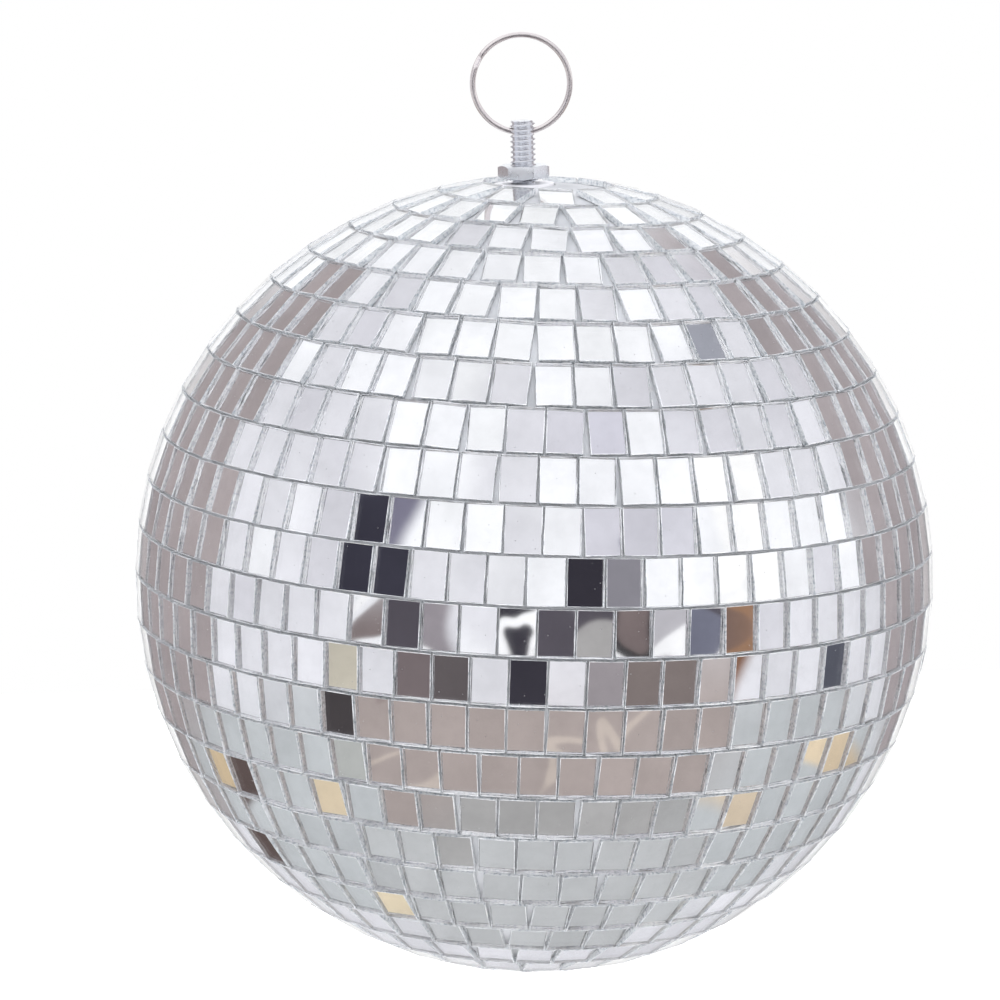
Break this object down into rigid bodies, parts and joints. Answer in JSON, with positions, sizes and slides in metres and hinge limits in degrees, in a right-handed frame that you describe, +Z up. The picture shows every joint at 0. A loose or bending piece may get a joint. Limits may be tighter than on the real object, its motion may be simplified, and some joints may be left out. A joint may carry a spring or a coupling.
{
  "type": "mirror ball",
  "caption": "Hanging mirror ball: hollow plastic core faced with rows of flat mirror tiles, on a threaded stud with a lock nut and a split ring.",
  "frame": {"origin": "hanging point: the top of the inside of the split ring, at rest", "axes": "+Z up along the hanging stud, from the ball's centre to the hanging point; +X along the stud's cross hole, in the plane of the split ring; +Y through the ring"},
  "size_m": [0.2004, 0.2006, 0.236],
  "materials": {
    "mirror_glass": "silvered flat glass with cut, lightly chipped edges",
    "backing_cloth": "grey woven backing with glue",
    "core_plastic": "moulded, unpainted",
    "zinc_stud": "bright zinc plated thread",
    "zinc_nut": "bright zinc plated, slightly blue",
    "washer_steel": "zinc plated",
    "insert_brass": "turned",
    "ring_wire": "nickel plated flat wire"
  },
  "bodies": {
    "ring": {"split_ring": "ring_wire"},
    "ball": {"hanging_stud": "zinc_stud", "threaded_insert": "insert_brass", "wide_washer": "washer_steel", "spring_washer": "washer_steel", "inner_nut": "zinc_nut", "core_upper": "core_plastic", "core_lower": "core_plastic", "backing_north": "backing_cloth", "backing_south": "backing_cloth", "south_pole_tiles": "mirror_glass", "mirror_row_north_01": "mirror_glass", "mirror_row_north_02": "mirror_glass", "mirror_row_north_03": "mirror_glass", "mirror_row_north_04": "mirror_glass", "mirror_row_north_05": "mirror_glass", "mirror_row_north_06": "mirror_glass", "mirror_row_north_07": "mirror_glass", "mirror_row_north_08": "mirror_glass", "mirror_row_north_09": "mirror_glass", "mirror_row_north_10": "mirror_glass", "mirror_row_north_11": "mirror_glass", "mirror_row_north_12": "mirror_glass", "mirror_row_south_01": "mirror_glass", "mirror_row_south_02": "mirror_glass", "mirror_row_south_03": "mirror_glass", "mirror_row_south_04": "mirror_glass", "mirror_row_south_05": "mirror_glass", "mirror_row_south_06": "mirror_glass", "mirror_row_south_07": "mirror_glass", "mirror_row_south_08": "mirror_glass", "mirror_row_south_09": "mirror_glass", "mirror_row_south_10": "mirror_glass", "mirror_row_south_11": "mirror_glass", "mirror_row_south_12": "mirror_glass"},
    "nut": {"lock_nut": "zinc_nut"}
  },
  "joints": [
    {"name": "ring_swing", "type": "hinge", "parent": "ring", "child": "ball", "pos_m": [0, 0, -0.02309], "axis": [1, 0, 0], "range_deg": [-118, 118]},
    {"name": "nut_travel", "type": "slide", "parent": "ball", "child": "nut", "axis": [0, 0, 1], "range_m": [-0.0012, 0.0052]}
  ]
}
